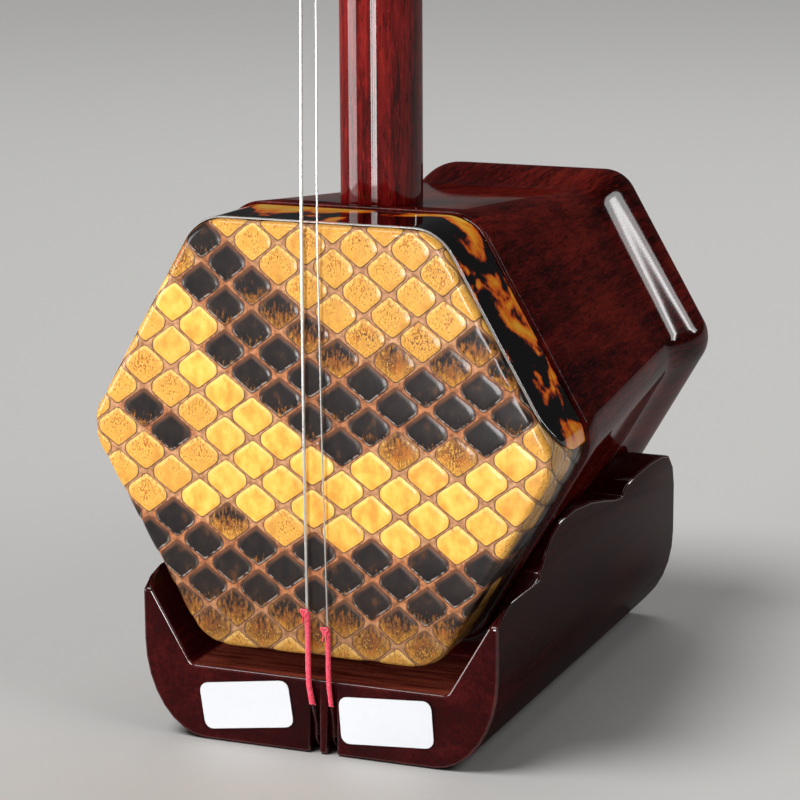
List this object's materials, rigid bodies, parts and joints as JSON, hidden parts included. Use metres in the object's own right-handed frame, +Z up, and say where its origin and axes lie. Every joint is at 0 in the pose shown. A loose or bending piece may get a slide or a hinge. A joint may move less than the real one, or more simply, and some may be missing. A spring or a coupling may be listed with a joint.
{
  "type": "erhu",
  "caption": "Two-string bowed fiddle: hexagonal rosewood sound box with a snakeskin face, round neck, tuning pegs and a standing base.",
  "frame": {"origin": "centre of the base's flat foot, on the plane that the erhu stands on", "axes": "+Z up along the neck; the skin faces -Y and the pegs' handles point to +Y; +X to the right seen from the skin's side"},
  "size_m": [0.1004, 0.1484, 0.8089],
  "materials": {
    "rosewood": "dark red rosewood, waxed and polished, with fine pores",
    "python_skin": "stretched python skin with yellow and dark brown scales, semi-gloss",
    "celluloid": "tortoiseshell-pattern celluloid, glossy",
    "bone": "polished bone, satin",
    "string_steel": "bright drawn and flat-wound steel",
    "screw_steel": "plain steel, satin",
    "red_silk": "red silk thread, close wound",
    "qianjin_thread": "black waxed thread, close wound",
    "paper": "blank white label paper"
  },
  "bodies": {
    "body": {"stave_top": "rosewood", "stave_upper_right": "rosewood", "stave_lower_right": "rosewood", "stave_bottom": "rosewood", "stave_lower_left": "rosewood", "stave_upper_left": "rosewood", "python_skin": "python_skin", "edge_band": "celluloid", "sound_window": "rosewood", "neck": "rosewood", "head": "rosewood", "head_ring": "bone", "head_inlay": "bone", "base": "rosewood", "base_screw": "screw_steel", "string_anchor_pin": "screw_steel", "inner_string": "string_steel", "outer_string": "string_steel", "inner_string_silk": "red_silk", "outer_string_silk": "red_silk", "blank_label_left": "paper", "blank_label_right": "paper"},
    "inner_tuner": {"inner_peg": "rosewood", "inner_peg_collar": "bone", "inner_peg_button": "bone", "inner_peg_string_coil": "string_steel"},
    "outer_tuner": {"outer_peg": "rosewood", "outer_peg_collar": "bone", "outer_peg_button": "bone", "outer_peg_string_coil": "string_steel"},
    "qianjin_loop": {"qianjin": "qianjin_thread"}
  },
  "joints": [
    {"name": "inner_peg_turn", "type": "hinge", "parent": "body", "child": "inner_tuner", "pos_m": [0, -0.0205, 0.722], "axis": [0, 1, 0], "continuous": true},
    {"name": "outer_peg_turn", "type": "hinge", "parent": "body", "child": "outer_tuner", "pos_m": [0, -0.0205, 0.64], "axis": [0, 1, 0], "continuous": true},
    {"name": "qianjin_slide", "type": "slide", "parent": "body", "child": "qianjin_loop", "axis": [0, 0, 1], "range_m": [-0.012, 0.012]}
  ]
}
